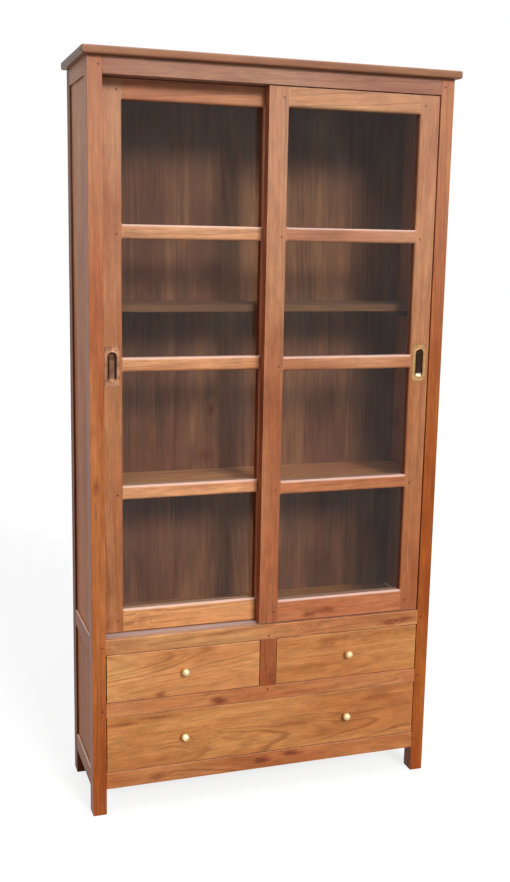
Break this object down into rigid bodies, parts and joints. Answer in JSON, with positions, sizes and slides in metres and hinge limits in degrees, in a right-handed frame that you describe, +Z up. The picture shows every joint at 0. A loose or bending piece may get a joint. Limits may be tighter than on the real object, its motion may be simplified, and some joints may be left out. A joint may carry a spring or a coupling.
{
  "type": "glass-fronted bookcase",
  "caption": "Tall solid wood bookcase on straight post legs, with sliding glass doors in a grooved track over drawers, recessed brass pulls and small brass knobs.",
  "frame": {"origin": "on the floor, under the middle of the whole bookcase's box", "axes": "+Z up, the doors and drawers face -Y, +X to the right as one faces the front"},
  "size_m": [0.98, 0.318, 1.925],
  "materials": {
    "frame_wood": "satin oiled hardwood, reddish brown",
    "door_wood": "satin oiled hardwood, reddish brown",
    "drawer_wood": "satin oiled hardwood, honey brown with a strong figure",
    "panel_wood": "satin oiled hardwood, duller brown",
    "inner_wood": "plain planed hardwood, darker brown",
    "brass": "polished, a little tarnished in the recesses",
    "glass": "clear"
  },
  "bodies": {
    "case": {"top_board": "frame_wood", "left_front_post": "frame_wood", "right_front_post": "frame_wood", "left_back_post": "frame_wood", "right_back_post": "frame_wood", "left_side_top_rail": "frame_wood", "left_side_middle_rail": "frame_wood", "left_side_bottom_rail": "frame_wood", "right_side_top_rail": "frame_wood", "right_side_middle_rail": "frame_wood", "right_side_bottom_rail": "frame_wood", "left_side_upper_panel": "panel_wood", "left_side_lower_panel": "panel_wood", "right_side_upper_panel": "panel_wood", "right_side_lower_panel": "panel_wood", "front_top_rail": "frame_wood", "sill_rail": "frame_wood", "drawer_rail_frame": "frame_wood", "bottom_front_rail": "frame_wood", "drawer_divider": "frame_wood", "back_top_rail": "frame_wood", "back_bottom_rail": "frame_wood", "back_panel": "inner_wood", "cabinet_floor": "inner_wood", "upper_shelf": "inner_wood", "lower_shelf": "inner_wood"},
    "left_door": {"left_door_outer_stile": "door_wood", "left_door_inner_stile": "door_wood", "left_door_top_rail": "door_wood", "left_door_bottom_rail": "door_wood", "left_door_bar_1": "door_wood", "left_door_bar_2": "door_wood", "left_door_bar_3": "door_wood", "left_door_pane_1": "glass", "left_door_pane_2": "glass", "left_door_pane_3": "glass", "left_door_pane_4": "glass", "left_door_pull": "brass"},
    "right_door": {"right_door_outer_stile": "door_wood", "right_door_inner_stile": "door_wood", "right_door_top_rail": "door_wood", "right_door_bottom_rail": "door_wood", "right_door_bar_1": "door_wood", "right_door_bar_2": "door_wood", "right_door_bar_3": "door_wood", "right_door_pane_1": "glass", "right_door_pane_2": "glass", "right_door_pane_3": "glass", "right_door_pane_4": "glass", "right_door_pull": "brass"},
    "upper_left_drawer": {"upper_left_drawer_front": "drawer_wood", "upper_left_drawer_tray": "inner_wood", "upper_left_drawer_knob": "brass"},
    "upper_right_drawer": {"upper_right_drawer_front": "drawer_wood", "upper_right_drawer_tray": "inner_wood", "upper_right_drawer_knob": "brass"},
    "lower_drawer": {"lower_drawer_front": "drawer_wood", "lower_drawer_tray": "inner_wood", "lower_drawer_left_knob": "brass", "lower_drawer_right_knob": "brass"}
  },
  "joints": [
    {"name": "left_door_slide", "type": "slide", "parent": "case", "child": "left_door", "axis": [1, 0, 0], "range_m": [0, 0.411]},
    {"name": "right_door_slide", "type": "slide", "parent": "case", "child": "right_door", "axis": [-1, 0, 0], "range_m": [0, 0.411]},
    {"name": "upper_left_drawer_slide", "type": "slide", "parent": "case", "child": "upper_left_drawer", "axis": [0, -1, 0], "range_m": [0, 0.2]},
    {"name": "upper_right_drawer_slide", "type": "slide", "parent": "case", "child": "upper_right_drawer", "axis": [0, -1, 0], "range_m": [0, 0.2]},
    {"name": "lower_drawer_slide", "type": "slide", "parent": "case", "child": "lower_drawer", "axis": [0, -1, 0], "range_m": [0, 0.2]}
  ]
}
